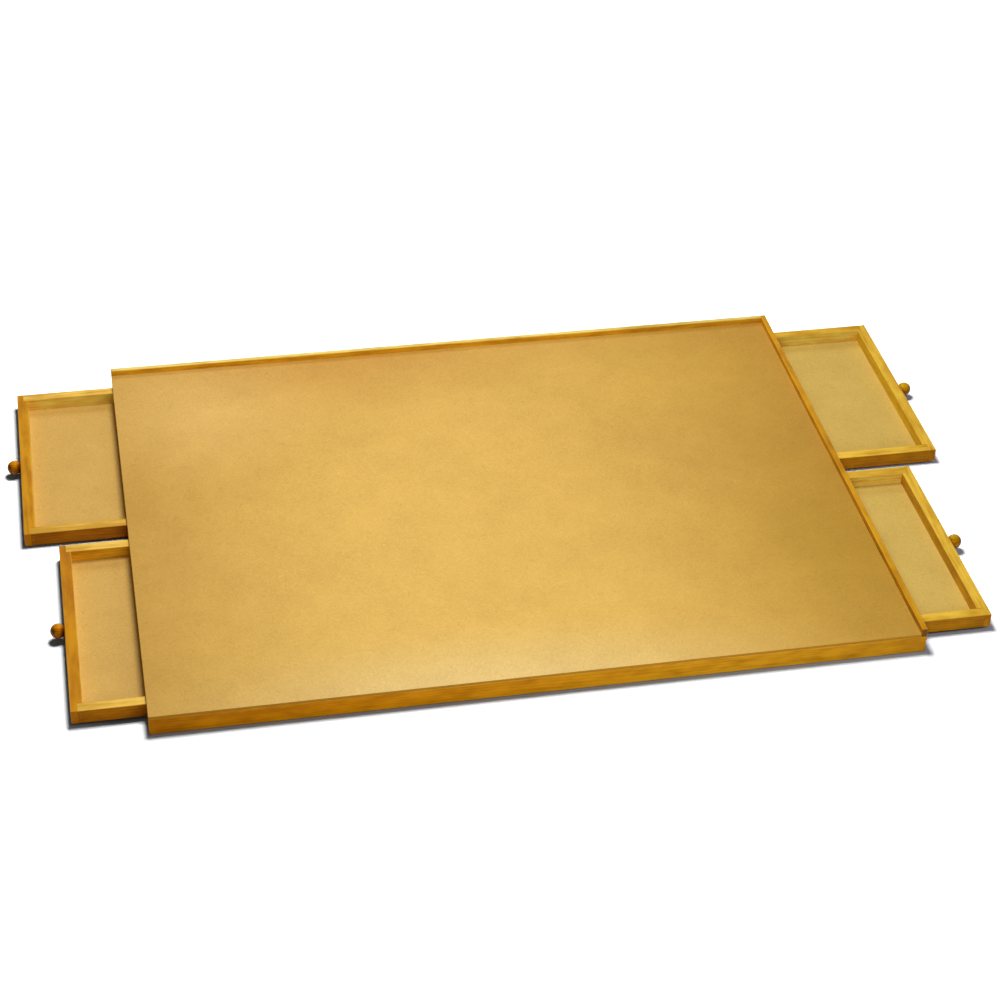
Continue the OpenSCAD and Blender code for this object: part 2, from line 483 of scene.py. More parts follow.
        # Painted light: the upright tone gives way to a paler one over the middle half of the
        # board's length, where more light falls.
        if self.painted_light_middle:
            quarter = self.length / 4
            middle_half = (-quarter, quarter)
            upright = over(upright, toned(self.painted_light_middle), along.outputs["Value"], middle_half)
        level = toned(self.stain, self.level_soak)
        stained = over(level, upright, split.outputs["Z"], LEVEL_TO_UPRIGHT)
        # Painted light: faces turned inward get a tone of their own, paler where light thrown back
        # inside the tray falls on them.
        if self.lining:
            inside = add(
                tree, "ShaderNodeVectorMath", {0: normal, 1: self.inward}, operation="DOT_PRODUCT"
            )
            turned_in = inside.outputs["Value"]
            stained = over(stained, toned(self.lining), turned_in, OUTSIDE_TO_LINING)

        # Eased edges, whose normals lie between the axes, are rubbed paler by sanding.
        flat = split.outputs["X"]
        for axis in ("Y", "Z"):
            flat = add(
                tree, "ShaderNodeMath", {0: flat, 1: split.outputs[axis]}, operation="MAXIMUM"
            ).outputs[0]
        rubbed = add(
            tree,
            "ShaderNodeMapRange",
            {"Value": flat, **span(FLAT_TO_EDGE), "To Max": self.rubbed},
        )
        colour = add(
            tree,
            "ShaderNodeMix",
            {0: rubbed.outputs[0], 6: stained, 7: srgb(self.rubbed_tone)},
            data_type="RGBA",
        ).outputs[2]

        gloss = add(
            tree,
            "ShaderNodeMapRange",
            {"Value": streak, **span(NOISE_SPAN), "To Min": self.rough[0], "To Max": self.rough[1]},
        )
        relief = add(
            tree,
            "ShaderNodeMath",
            {0: latewood, 1: 0.5, 2: fibre},
            operation="MULTIPLY_ADD",
        )
        if self.tool:
            turns = add(
                tree,
                "ShaderNodeMath",
                {0: along.outputs["Value"], 1: 2 * math.pi / self.tool},
                operation="MULTIPLY",
            )
            wave = add(tree, "ShaderNodeMath", {0: turns.outputs[0]}, operation="SINE")
            relief = add(
                tree,
                "ShaderNodeMath",
                {0: wave.outputs[0], 1: 0.12, 2: relief.outputs[0]},
                operation="MULTIPLY_ADD",
            )
        bump = add(
            tree,
            "ShaderNodeBump",
            {"Height": relief.outputs[0], "Strength": 0.5, "Distance": RELIEF},
        )
        return add(
            tree,
            "ShaderNodeBsdfPrincipled",
            {
                "Base Color": colour,
                "Roughness": gloss.outputs[0],
                "Specular IOR Level": self.shine,
                "Specular Tint": srgb(self.sheen_tint),
                "Normal": bump.outputs[0],
            },
        ).outputs[0]


@dataclass(frozen=True)
class TurnedWood(StainedWood):
    """Wood turned on a lathe along its grain, then stained dark and lacquered.

    The eye sees rings at the pole, fibres along the axis and the fine traces of the tool.
    Real traces are taken as too fine to show, so they are drawn coarser, 0.8 mm apart.
    """

    pith_at: Pair | None = (2.0, -3.0)
    ring: float = 1.9
    rough: Pair = (0.24, 0.3)
    shine: float = 0.2
    rubbed: float = 0.0
    tool: float = 0.8


@dataclass(frozen=True)
class WoodFiller(Finish):
    """Putty over a sunk brad: dull and even, a shade off the wood around it."""

    def shader(self, tree: Tree) -> Socket:
        """Adds the putty's nodes.

        Args:
            tree: The material's tree.

        Returns:
            The shader's output.
        """
        grain = add(
            tree,
            "ShaderNodeTexNoise",
            {"Vector": millimetres(tree), "Scale": 3.0, "Detail": 2},
        ).outputs[0]
        colour = add(
            tree,
            "ShaderNodeMix",
            {0: grain, 6: srgb("#D09634"), 7: srgb("#B47A1E")},
            data_type="RGBA",
        )
        return add(
            tree,
            "ShaderNodeBsdfPrincipled",
            {"Base Color": colour.outputs[2], "Roughness": 0.62},
        ).outputs[0]


@dataclass(frozen=True)
class PaintedLightOval:
    """Soft oval on a sheet, with a tint of its own.

    It paints light and shade: a tint above 1 paints a highlight or sheen, below 1 a shade.
    Its middle and its half lengths are in millimetres; tint is the linear factor on the
    sheet's colour at its middle.
    """

    x: float
    y: float
    half_x: float
    half_y: float
    tint: Triple


@dataclass(frozen=True)
class PressedBoard(Finish):
    """Board pressed from wood fibres: a smooth, dull skin with short curled fibres and specks.

    The eye sees an even tan with fine light and dark flecks, slow clouds a hand's width
    across, and a browner, rougher sawn edge. Real grit and specks are taken as a few tenths of
    a millimetre, which is too fine to show, so they are drawn coarser: grit in patches of
    1.7 mm, specks of about 1 mm. Sizes are in millimetres.
    """

    skin: str
    fleck: str
    pale_fleck: str
    edge: str
    seed: int = 1
    # Painted shade: a tone that darkens the skin away from the sheet's middle.
    painted_shade_tone: str | None = None
    # Ovals of painted light and shade on the skin.
    painted_light_ovals: tuple[PaintedLightOval, ...] = ()
    sheen_tint: str = "#FFEECB"
    cloud_size: float = 48.0
    cloud_weight: float = 0.55
    grit_size: float = 1.7
    grit_weight: float = 0.65
    curl_size: float = 7.0
    curl_edge: Pair = (0.02, 0.005)
    patch_size: float = 10.0
    patch_edge: Pair = (0.56, 0.64)
    curl_strength: float = 0.26
    rough: Pair = (0.5, 0.62)
    # Oval and span over which that painted shade comes in.
    painted_shade_oval: tuple[float, ...] = (-44.0, -180.0, 440.0, 900.0)
    painted_shade_span: Pair = (0.2, 1.15)

    def shader(self, tree: Tree) -> Socket:
        """Adds the board's nodes.

        Args:
            tree: The material's tree.

        Returns:
            The shader's output.
        """
        place = millimetres(tree)

        def cloud(size: float, detail: float, shift: float) -> Socket:
            """Adds a noise.

            Args:
                size: How many millimetres its patches are across.
                detail: The noise's own detail.
                shift: What sets it apart from the board's other noises.

            Returns:
                The noise's value.
            """
            return add(
                tree,
                "ShaderNodeTexNoise",
                {
                    "Vector": place,
                    "W": self.seed * 5.1 + shift,
                    "Scale": 1 / size,
                    "Detail": detail,
                    "Roughness": 0.62,
                },
                noise_dimensions="4D",
            ).outputs[0]

        clouds = cloud(self.cloud_size, 4, 0)
        grit = cloud(self.grit_size, 1, 13)
        curls = cloud(self.curl_size, 2, 29)
        patches = cloud(self.patch_size, 1, 41)

        tone: Socket | float = 0.0
        for pattern, weight in ((clouds, self.cloud_weight), (grit, self.grit_weight)):
            centred = add(
                tree, "ShaderNodeMath", {0: pattern, 1: NOISE_MIDDLE}, operation="SUBTRACT"
            )
            tone = add(
                tree,
                "ShaderNodeMath",
                {0: centred.outputs[0], 1: weight, 2: tone},
                operation="MULTIPLY_ADD",
            ).outputs[0]

        # Curled fibres: thin lines where a noise crosses its middle, kept in a few patches.
        crossing = add(tree, "ShaderNodeMath", {0: curls, 1: NOISE_MIDDLE}, operation="SUBTRACT")
        distance = add(tree, "ShaderNodeMath", {0: crossing.outputs[0]}, operation="ABSOLUTE")
        line = add(
            tree,
            "ShaderNodeMapRange",
            {"Value": distance.outputs[0], **span(self.curl_edge)},
        )
        kept = add(
            tree,
            "ShaderNodeMapRange",
            {"Value": patches, **span(self.patch_edge), "To Max": self.curl_strength},
        )
        fibres = add(
            tree, "ShaderNodeMath", {0: line.outputs[0], 1: kept.outputs[0]}, operation="MULTIPLY"
        )

        def specks(spacing: float, size: float, strength: float) -> Socket:
            """Adds round specks, about one to each square of their spacing.

            Args:
                spacing: Their spacing in millimetres.
                size: Their size in millimetres.
                strength: How much of their colour shows at their middles.

            Returns:
                Their mask.
            """
            cells = add(
                tree,
                "ShaderNodeTexVoronoi",
                {"Vector": place, "Scale": 1 / spacing, "Randomness": 1.0},
            )
            return add(
                tree,
                "ShaderNodeMapRange",
                {
                    "Value": cells.outputs["Distance"],
                    **span((size / spacing, 0.4 * size / spacing)),
                    "To Max": strength,
                },
            ).outputs[0]

        def tinted(
            first: Socket, oval: tuple[float, ...], ends: Pair, tint: Colour
        ) -> Socket:
            """Adds a tint that comes in with the distance from the middle of an oval.

            Args:
                first: The colour that gets the tint.
                oval: Its middle in X and Y and its half lengths in X and Y, in millimetres.
                ends: The distances, in half lengths, at which the tint starts and is full.
                tint: The linear factor on the colour.

            Returns:
                The colour.
            """
            x, y, half_x, half_y = oval
            shifted = add(
                tree,
                "ShaderNodeVectorMath",
                {0: place, 1: (1 / half_x, 1 / half_y, 0), 2: (-x / half_x, -y / half_y, 0)},
                operation="MULTIPLY_ADD",
            )
            away = add(tree, "ShaderNodeVectorMath", {0: shifted.outputs[0]}, operation="LENGTH")
            share = add(
                tree,
                "ShaderNodeMapRange",
                {"Value": away.outputs["Value"], **span(ends)},
                interpolation_type="SMOOTHSTEP",
            )
            return add(
                tree,
                "ShaderNodeMix",
                {0: share.outputs[0], 6: first, 7: tint},
                data_type="RGBA",
                blend_type="MULTIPLY",
            ).outputs[2]

        body = add(
            tree,
            "ShaderNodeMix",
            {0: tone, 6: srgb(self.skin), 7: srgb(self.fleck)},
            data_type="RGBA",
            clamp_factor=False,
        ).outputs[2]
        for mask, code in (
            (fibres.outputs[0], self.fleck),
            (specks(9.0, 1.0, 0.28), self.fleck),
            (specks(7.0, 0.9, 0.4), self.pale_fleck),
        ):
            body = add(
                tree, "ShaderNodeMix", {0: mask, 6: body, 7: srgb(code)}, data_type="RGBA"
            ).outputs[2]

        if self.painted_shade_tone:
            # Painted shade: the skin darkens slowly away from the sheet's middle, as the light and
            # sheen on it fall off.
            body = tinted(body, self.painted_shade_oval, self.painted_shade_span, srgb(self.painted_shade_tone))

        # Painted light and shade: broad soft ovals brighten and blue the skin where sheen falls on
        # it, and darken it where shade falls.
        for painted_oval in self.painted_light_ovals:
            oval = (painted_oval.x, painted_oval.y, painted_oval.half_x, painted_oval.half_y)
            body = tinted(body, oval, (1.0, 0.0), (*painted_oval.tint, 1.0))

        normal = add(tree, "ShaderNodeNewGeometry").outputs["Normal"]
        upright = add(
            tree,
            "ShaderNodeVectorMath",
            {0: normal, 1: (0, 0, 1)},
            operation="DOT_PRODUCT",
        )
        flat = add(tree, "ShaderNodeMath", {0: upright.outputs["Value"]}, operation="ABSOLUTE")
        sawn = add(
            tree,
            "ShaderNodeMapRange",
            {"Value": flat.outputs[0], **span(SKIN_TO_SAWN)},
        ).outputs[0]
        colour = add(
            tree, "ShaderNodeMix", {0: sawn, 6: body, 7: srgb(self.edge)}, data_type="RGBA"
        ).outputs[2]
        gloss = add(
            tree,
            "ShaderNodeMapRange",
            {"Value": grit, **span(NOISE_SPAN), "To Min": self.rough[0], "To Max": self.rough[1]},
        )
        bump = add(tree, "ShaderNodeBump", {"Height": grit, "Strength": 0.4, "Distance": RELIEF},)
        return add(
            tree,
            "ShaderNodeBsdfPrincipled",
            {
                "Base Color": colour,
                "Roughness": gloss.outputs[0],
                "Specular IOR Level": 0.3,
                "Specular Tint": srgb(self.sheen_tint),
                "Normal": bump.outputs[0],
            },
        ).outputs[0]


@dataclass(frozen=True)
class ZincSteel(Finish):
    """Zinc-plated steel: a pale grey metal, a little cloudy, with a soft sheen."""

    def shader(self, tree: Tree) -> Socket:
        """Adds the metal's nodes.

        Args:
            tree: The material's tree.

        Returns:
            The shader's output.
        """
        clouds = add(
            tree,
            "ShaderNodeTexNoise",
            {"Vector": millimetres(tree), "Scale": 1.4, "Detail": 3},
        ).outputs[0]
        colour = add(
            tree,
            "ShaderNodeMix",
            {0: clouds, 6: srgb("#C9CACD"), 7: srgb("#A6A8AE")},
            data_type="RGBA",
        )
        gloss = add(tree, "ShaderNodeMapRange", {"Value": clouds, "To Min": 0.28, "To Max": 0.5})
        return add(
            tree,
            "ShaderNodeBsdfPrincipled",
            {"Base Color": colour.outputs[2], "Metallic": 1.0, "Roughness": gloss.outputs[0]},
        ).outputs[0]


@dataclass(frozen=True)
class WhiteSweep(Finish):
    """Matt white studio paper that burns out to white where nothing shades it.

    Other things see it darker than the camera does, so that it throws little light up at
    them. Its glow starts and ends at so many times the half lengths of glow_oval, in metres.
    """

    bounce: str = "#454545"
    seen_tone: str = "#A2BCD4"
    glow_oval: Pair = (0.62, 0.42)
    glow_span: Pair = (1.05, 1.55)

    def shader(self, tree: Tree) -> Socket:
        """Adds the paper's nodes.

        Args:
            tree: The material's tree.

        Returns:
            The shader's output.
        """
        path = add(tree, "ShaderNodeLightPath")
        seen = path.outputs["Is Camera Ray"]
        for ray in ("Is Glossy Ray", "Is Transmission Ray"):
            seen = add(
                tree, "ShaderNodeMath", {0: seen, 1: path.outputs[ray]}, operation="MAXIMUM"
            ).outputs[0]
        paper = add(tree, "ShaderNodeBsdfDiffuse", {"Color": srgb(self.bounce)})
        bright = add(tree, "ShaderNodeBsdfDiffuse", {"Color": srgb(self.seen_tone)})
        # Away from the case the paper glows white by itself.
        reach = add(
            tree,
            "ShaderNodeVectorMath",
            {
                0: add(tree, "ShaderNodeTexCoord").outputs["Object"],
                1: (*(1 / half for half in self.glow_oval), 0),
            },
            operation="MULTIPLY",
        )
        away = add(tree, "ShaderNodeVectorMath", {0: reach.outputs[0]}, operation="LENGTH")
        glow = add(
            tree,
            "ShaderNodeMapRange",
            {"Value": away.outputs["Value"], **span(self.glow_span)},
            interpolation_type="SMOOTHSTEP",
        )
        light = add(tree, "ShaderNodeEmission", {"Strength": glow.outputs[0]})
        burnt = add(tree, "ShaderNodeAddShader", {0: bright.outputs[0], 1: light.outputs[0]})
        top = add(tree, "ShaderNodeMixShader", {0: seen, 1: paper.outputs[0], 2: burnt.outputs[0]},)
        # From below the paper is clear, so that it doesn't hide the case's underside.
        return add(
            tree,
            "ShaderNodeMixShader",
            {
                0: add(tree, "ShaderNodeNewGeometry").outputs["Backfacing"],
                1: top.outputs[0],
                2: add(tree, "ShaderNodeBsdfTransparent").outputs[0],
            },
        ).outputs[0]


# ---- Shapes that repeat or are turned, made by Geometry Nodes ----


class Shapes:
    """Trees of Geometry Nodes for turned and repeated pieces, each built once.

    A screw's tip ends at a share of its shank's radius, and each wing of its cross recess
    narrows to a share of its size at the recess's floor.
    """

    TIP_SHARE = 0.1
    RECESS_FLOOR_SHARE = 0.34

    @staticmethod
    def tree(name: str, inputs: dict[str, str]) -> tuple[Tree, Node]:
        """Starts a tree with its named inputs.

        Args:
            name: The tree's name.
            inputs: Socket type of each named input.

        Returns:
            The tree and its node of inputs.
        """
        tree = bpy.data.node_groups.new(name, "GeometryNodeTree")
        for label, kind in {"Geometry": "NodeSocketGeometry", **inputs}.items():
            tree.interface.new_socket(label, in_out="INPUT", socket_type=kind)
        tree.interface.new_socket("Geometry", in_out="OUTPUT", socket_type="NodeSocketGeometry")
        return tree, add(tree, "NodeGroupInput")

    @staticmethod
    def end(tree: Tree, shape: Socket, given: Node) -> None:
        """Ends a tree: joins the copies into one mesh and gives it its finish.

        Args:
            tree: The tree.
            shape: The geometry that it has made.
            given: Its node of inputs, one of which is called Finish.
        """
        real = add(tree, "GeometryNodeRealizeInstances", {"Geometry": shape})
        dressed = add(
            tree,
            "GeometryNodeSetMaterial",
            {"Geometry": real.outputs[0], "Material": given.outputs["Finish"]},
        )
        add(tree, "NodeGroupOutput", {"Geometry": dressed.outputs[0]})

    @classmethod
    def turned(cls) -> Tree:
        """Tree that turns a line of points on a lathe, each at its own radius.

        Returns:
            The tree, with the inputs Sides and Finish.
        """
        if "turned_piece" in bpy.data.node_groups:
            return bpy.data.node_groups["turned_piece"]
        tree, given = cls.tree(
            "turned_piece", {"Sides": "NodeSocketInt", "Finish": "NodeSocketMaterial"}
        )
        axis = add(tree, "GeometryNodeMeshToCurve", {"Mesh": given.outputs["Geometry"]})
        radius = add(
            tree, "GeometryNodeInputNamedAttribute", {"Name": "turned_radius"}, data_type="FLOAT"
        )
        ring = add(
            tree,
            "GeometryNodeCurvePrimitiveCircle",
            {"Resolution": given.outputs["Sides"], "Radius": 1.0},
        )
        skin = add(
            tree,
            "GeometryNodeCurveToMesh",
            {
                "Curve": axis.outputs[0],
                "Profile Curve": ring.outputs[0],
                "Scale": radius.outputs[0],
            },
        )
        closed = add(
            tree, "GeometryNodeMergeByDistance", {"Geometry": skin.outputs[0], "Distance": 1e-6}
        )
        smooth = add(tree, "GeometryNodeSetShadeSmooth", {"Geometry": closed.outputs[0]})
        cls.end(tree, smooth.outputs[0], given)
        return tree

    @classmethod
    def pins(cls) -> Tree:
        """Tree that puts a round pin at each point.

        Returns:
            The tree, with the inputs Diameter, Length, Lean, Sides and Finish.
        """
        if "pins" in bpy.data.node_groups:
            return bpy.data.node_groups["pins"]
        tree, given = cls.tree(
            "pins",
            {
                "Diameter": "NodeSocketFloat",
                "Length": "NodeSocketFloat",
                "Lean": "NodeSocketRotation",
                "Sides": "NodeSocketInt",
                "Finish": "NodeSocketMaterial",
            },
        )
        radius = add(
            tree, "ShaderNodeMath", {0: given.outputs["Diameter"], 1: 0.5}, operation="MULTIPLY"
        )
        pin = add(
            tree,
            "GeometryNodeMeshCylinder",
            {
                "Vertices": given.outputs["Sides"],
                "Radius": radius.outputs[0],
                "Depth": given.outputs["Length"],
            },
        )
        placed = add(
            tree,
            "GeometryNodeInstanceOnPoints",
            {
                "Points": given.outputs["Geometry"],
                "Instance": pin.outputs["Mesh"],
                "Rotation": given.outputs["Lean"],
            },
        )
        cls.end(tree, placed.outputs[0], given)
        return tree

    @classmethod
    def screws(cls) -> Tree:
        """Tree that drives a countersunk screw with a cross recess up into each point.

        Returns:
            The tree, with the inputs Head diameter, Head height, Shank diameter, Length,
            Tip length, Recess width, Recess span, Recess depth, Sides, Seed and Finish.
        """
        sizes = (
            "Head diameter",
            "Head height",
            "Shank diameter",
            "Length",
            "Tip length",
            "Recess width",
            "Recess span",
            "Recess depth",
        )
        tree, given = cls.tree(
            "cross_recess_screws",
            {
                **{size: "NodeSocketFloat" for size in sizes},
                "Sides": "NodeSocketInt",
                "Seed": "NodeSocketInt",
                "Finish": "NodeSocketMaterial",
            },
        )
        part = given.outputs
        root = add(
            tree,
            "ShaderNodeMath",
            {0: part["Length"], 1: part["Tip length"]},
            operation="SUBTRACT",
        ).outputs[0]
        head, shank, tip = (
            add(tree, "ShaderNodeMath", {0: part[size], 1: share}, operation="MULTIPLY").outputs[0]
            for size, share in (
                ("Head diameter", 0.5),
                ("Shank diameter", 0.5),
                ("Shank diameter", cls.TIP_SHARE),
            )
        )
        index = add(tree, "GeometryNodeInputIndex").outputs[0]

        # Height and radius at each point of the screw's axis, from its head to its tip.
        steps = []
        for values in ((0.0, part["Head height"], root, part["Length"]), (head, shank, shank, tip)):
            switch = add(tree, "GeometryNodeIndexSwitch", data_type="FLOAT")
            for _ in values[2:]:
                switch.index_switch_items.new()
            tree.links.new(index, switch.inputs["Index"])
            for i, value in enumerate(values):
                if value:
                    tree.links.new(value, switch.inputs[i + 1])
            steps.append(switch.outputs[0])
        height, radius = steps
        line = add(tree, "GeometryNodeMeshLine", {"Count": 4})
        risen = add(
            tree,
            "GeometryNodeSetPosition",
            {
                "Geometry": line.outputs[0],
                "Position": add(tree, "ShaderNodeCombineXYZ", {"Z": height}).outputs[0],
            },
        )
        axis = add(tree, "GeometryNodeMeshToCurve", {"Mesh": risen.outputs[0]})
        ring = add(
            tree, "GeometryNodeCurvePrimitiveCircle", {"Resolution": part["Sides"], "Radius": 1.0}
        )
        blank = add(
            tree,
            "GeometryNodeCurveToMesh",
            {
                "Curve": axis.outputs[0],
                "Profile Curve": ring.outputs[0],
                "Scale": radius,
                "Fill Caps": True,
            },
        )
        deep = add(
            tree, "ShaderNodeMath", {0: part["Recess depth"], 1: 2.0}, operation="MULTIPLY"
        ).outputs[0]
        # Each wing of the recess narrows with depth.
        place = add(tree, "GeometryNodeInputPosition").outputs[0]
        split = add(tree, "ShaderNodeSeparateXYZ", {0: place})
        share = add(
            tree,
            "ShaderNodeMath",
            {0: split.outputs["Z"], 1: part["Recess depth"]},
            operation="DIVIDE",
        )
        narrow = add(
            tree,
            "ShaderNodeMapRange",
            {"Value": share.outputs[0], "To Min": 1.0, "To Max": cls.RECESS_FLOOR_SHARE},
        ).outputs[0]
        taper = add(tree, "ShaderNodeCombineXYZ", {"X": narrow, "Y": narrow, "Z": 1.0})
        tapered = add(
            tree,
            "ShaderNodeVectorMath",
            {0: place, 1: taper.outputs[0]},
            operation="MULTIPLY",
        )
        cut = blank.outputs[0]
        for size in (("Recess span", "Recess width"), ("Recess width", "Recess span")):
            wing = add(
                tree,
                "GeometryNodeMeshCube",
                {
                    "Size": add(
                        tree,
                        "ShaderNodeCombineXYZ",
                        {"X": part[size[0]], "Y": part[size[1]], "Z": deep},
                    ).outputs[0]
                },
            )
            bit = add(
                tree,
                "GeometryNodeSetPosition",
                {"Geometry": wing.outputs[0], "Position": tapered.outputs[0]},
            )
            cut = add(
                tree,
                "GeometryNodeMeshBoolean",
                {"Mesh 1": cut, "Mesh 2": bit.outputs[0]},
                operation="DIFFERENCE",
                solver="EXACT",
            ).outputs[0]
        turn = add(
            tree,
            "FunctionNodeRandomValue",
            {2: 0.0, 3: math.pi / 2, "Seed": part["Seed"]},
            data_type="FLOAT",
        ).outputs[1]
        placed = add(
            tree,
            "GeometryNodeInstanceOnPoints",
            {
                "Points": part["Geometry"],
                "Instance": cut,
                "Rotation": add(tree, "ShaderNodeCombineXYZ", {"Z": turn}).outputs[0],
            },
        )
        cls.end(tree, placed.outputs[0], given)
        return tree


def grow(
    name: str,
    tree: Tree,
    points: list[Triple],
    values: dict[str, object],
    radii: list[float] | None = None,
) -> bpy.types.Object:
    """Runs a tree of Geometry Nodes on points and keeps the plain mesh that it makes.

    Args:
        name: The piece's name.
        tree: The tree.
        points: The points that it starts from, in metres.
        values: Value of each named input.
        radii: For a turned piece, the radius at each point of its axis, in metres.

    Returns:
        The piece, an object at the origin with its place in its mesh.
    """
    mesh = bpy.data.meshes.new(name)
    mesh.from_pydata(points, [(i, i + 1) for i in range(len(points) - 1)] if radii else [], [])
    if radii:
        mesh.attributes.new("turned_radius", "FLOAT", "POINT").data.foreach_set("value", radii)
    piece = bpy.data.objects.new(name, mesh)
    bpy.context.scene.collection.objects.link(piece)
    modifier = piece.modifiers.new("shape", "NODES")
    modifier.node_group = tree
    for socket in tree.interface.items_tree:
        if socket.in_out == "INPUT" and socket.name in values:
            modifier[socket.identifier] = values[socket.name]
    graph = bpy.context.evaluated_depsgraph_get()
    shaped = bpy.data.meshes.new_from_object(piece.evaluated_get(graph), depsgraph=graph)
    piece.modifiers.clear()
    piece.data = shaped
    shaped.name = name
    tidy = bmesh.new()
    tidy.from_mesh(shaped)
    bmesh.ops.recalc_face_normals(tidy, faces=tidy.faces)
    tidy.to_mesh(shaped)
    tidy.free()
    return piece


# ---- Work case and drawers ----


def board(name: str, tones: tuple[Stain, ...], grain: Grain, seed: int, **traits: object) -> None:
    """Puts stained wood of its own figure on one board of the CAD model.

    Args:
        name: The board's CAD node.
        tones: Its stains on level faces, on upright faces as painted shade and, if it has one,
            inside as painted light.
        grain: Which way its fibres run.
        seed: Number that sets its figure.
        traits: Other fields of its finish, such as how deep the stain is on its sawn ends.
    """
    low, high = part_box(name)
    middle = (low + high) / 2 / MM
    length = (high - low).dot(Vector(grain.value)) / MM
    level, upright, *lining = tones
    if lining:
        traits["lining"] = lining[0]
    StainedWood(
        f"honey_stained_pine_{name}",
        level,
        upright,
        grain,
        tuple(middle),
        length,
        seed,
        **traits,
    ).dress(name)


@dataclass
class WorkCase:
    """The part that stands still: work surface, rails, spines, base panel and rims.

    Sizes are in millimetres.
    """

    surface: PressedBoard
    base: PressedBoard
    steel: ZincSteel
    screw_sizes: dict[str, float] = field(
        default_factory=lambda: {
            "Head diameter": 6.0,
            "Head height": 1.7,
            "Shank diameter": 3.0,
            "Length": 13.0,
            "Tip length": 3.0,
            "Recess width": 0.9,
            "Recess span": 3.6,
            "Recess depth": 1.2,
        }
    )
    screw_sink: float = 0.3
    rail_screw_xs: tuple[float, ...] = (-353.5, -212.1, -70.7, 70.7, 212.1, 353.5)
    rail_screw_ys: tuple[float, ...] = (-282.5, 0.0, 282.5)
    spine_screw_ys: tuple[float, ...] = (-188.5, -100.0, 100.0, 188.5)
    screw_sides: int = 24
    screw_seed: int = 5
    name: str = "case"

    def build(self) -> list[str]:
        """Makes the screws that hold the base panel.

        Returns:
            The names of the pieces made.
        """
        places = [(x, y) for x in self.rail_screw_xs for y in self.rail_screw_ys]
        places += [(0.0, y) for y in self.spine_screw_ys]
        screws = grow(
            "base_panel_screws",
            Shapes.screws(),
            [(x * MM, y * MM, self.screw_sink * MM) for x, y in places],
            {
                **{size: value * MM for size, value in self.screw_sizes.items()},
                "Sides": self.screw_sides,
                "Seed": self.screw_seed,
                "Finish": self.steel.material(),
            },
        )
        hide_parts("base_screws")
        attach(screws, "case")
        return [screws.name]

    def dress(self) -> list[str]:
        """Puts the finishes on the case's boards.

        Returns:
            The names of the CAD nodes dressed.
        """
        # Upright tones paint shade on the boards' sides. On the front rail the paler middle and the
        # ends darkened over 60 mm paint the light and shade on it; rim_back's pale top also paints
        # part of the highlight along it.
        boards = (
            (
                "front_rail",
                (Stain.GOLD, Stain.GINGER),
                Grain.ALONG_X,
                3,
                {"painted_light_middle": Stain.MARIGOLD, "end_reach": 60.0, "end_soak": 0.5},
            ),
            ("back_rail", (Stain.GOLD, Stain.ORANGE), Grain.ALONG_X, 8, {}),
            ("center_rail", (Stain.GOLD, Stain.CARAMEL), Grain.ALONG_X, 14, {}),
            ("front_spine", (Stain.GOLD, Stain.CARAMEL), Grain.ALONG_Y, 21, {}),
            ("back_spine", (Stain.GOLD, Stain.CARAMEL), Grain.ALONG_Y, 26, {}),
            ("rim_back", (Stain.CANARY, Stain.APRICOT), Grain.ALONG_X, 31, {}),
            (
                "rim_right",
                (Stain.HONEY, Stain.BRIAR),
                Grain.ALONG_Y,
                37,
                {"painted_light_middle": Stain.MAPLE, "end_depth": 0.9, "rubbed": 0.12},
            ),
        )
        for name, tones, grain, seed, traits in boards:
            board(name, tones, grain, seed, **traits)
        self.surface.dress("work_surface")
        self.base.dress("base_panel")
        return [*(name for name, *_ in boards), "work_surface", "base_panel"]


